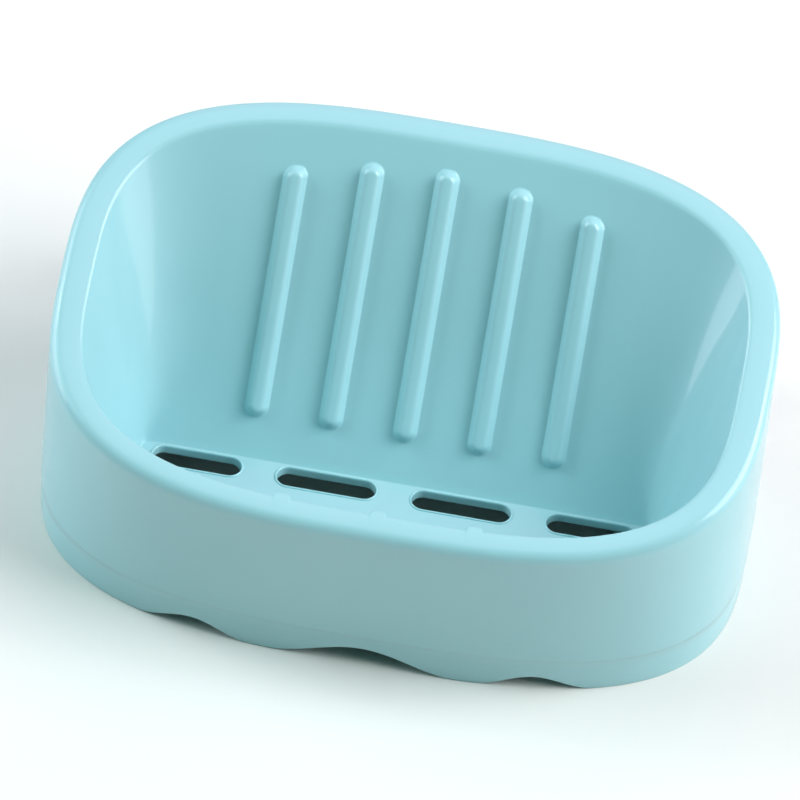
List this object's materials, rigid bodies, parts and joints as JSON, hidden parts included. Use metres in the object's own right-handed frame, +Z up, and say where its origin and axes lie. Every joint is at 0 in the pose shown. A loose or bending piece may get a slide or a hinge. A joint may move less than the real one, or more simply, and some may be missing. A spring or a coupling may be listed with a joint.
{
  "type": "soap dish",
  "caption": "Wall soap dish: oblong moulded bowl with a high sloping ribbed back, drain slots and a waved skirt, hung on suction cups with thumb nuts.",
  "frame": {"origin": "on the wall plane, midway between the axes of the two suction cups", "axes": "+Y into the wall, +Z up, +X to the right as seen by someone facing the wall"},
  "size_m": [0.135, 0.095, 0.0615],
  "materials": {
    "dish": "satin turquoise polypropylene",
    "cup": "clear soft vinyl",
    "stud": "natural white nylon",
    "washer": "natural white nylon",
    "nut": "natural white nylon"
  },
  "bodies": {
    "wall_fixing": {"suction_cup_left": "cup", "suction_cup_right": "cup", "cup_stud_left": "stud", "cup_stud_right": "stud"},
    "dish": {"dish_shell": "dish"},
    "washer_left": {"nut_washer_left": "washer"},
    "washer_right": {"nut_washer_right": "washer"},
    "nut_left": {"thumb_nut_left": "nut"},
    "nut_right": {"thumb_nut_right": "nut"}
  },
  "joints": [
    {"name": "dish_lift", "type": "slide", "parent": "wall_fixing", "child": "dish", "axis": [0, 0, 1], "range_m": [0, 0.036]},
    {"name": "washer_left_slide", "type": "slide", "parent": "wall_fixing", "child": "washer_left", "axis": [0, -1, 0], "range_m": [0, 0.0045]},
    {"name": "nut_left_turn", "type": "hinge", "parent": "washer_left", "child": "nut_left", "pos_m": [-0.032, -0.02, 0], "axis": [0, -1, 0], "range_deg": [0, 1080]},
    {"name": "washer_right_slide", "type": "slide", "parent": "wall_fixing", "child": "washer_right", "axis": [0, -1, 0], "range_m": [0, 0.0045]},
    {"name": "nut_right_turn", "type": "hinge", "parent": "washer_right", "child": "nut_right", "pos_m": [0.032, -0.02, 0], "axis": [0, -1, 0], "range_deg": [0, 1080]}
  ],
  "couplings": [
    {"joint": "nut_left_turn", "follows": "washer_left_slide", "rad_per_m": 4188.8},
    {"joint": "nut_right_turn", "follows": "washer_right_slide", "rad_per_m": 4188.8}
  ]
}
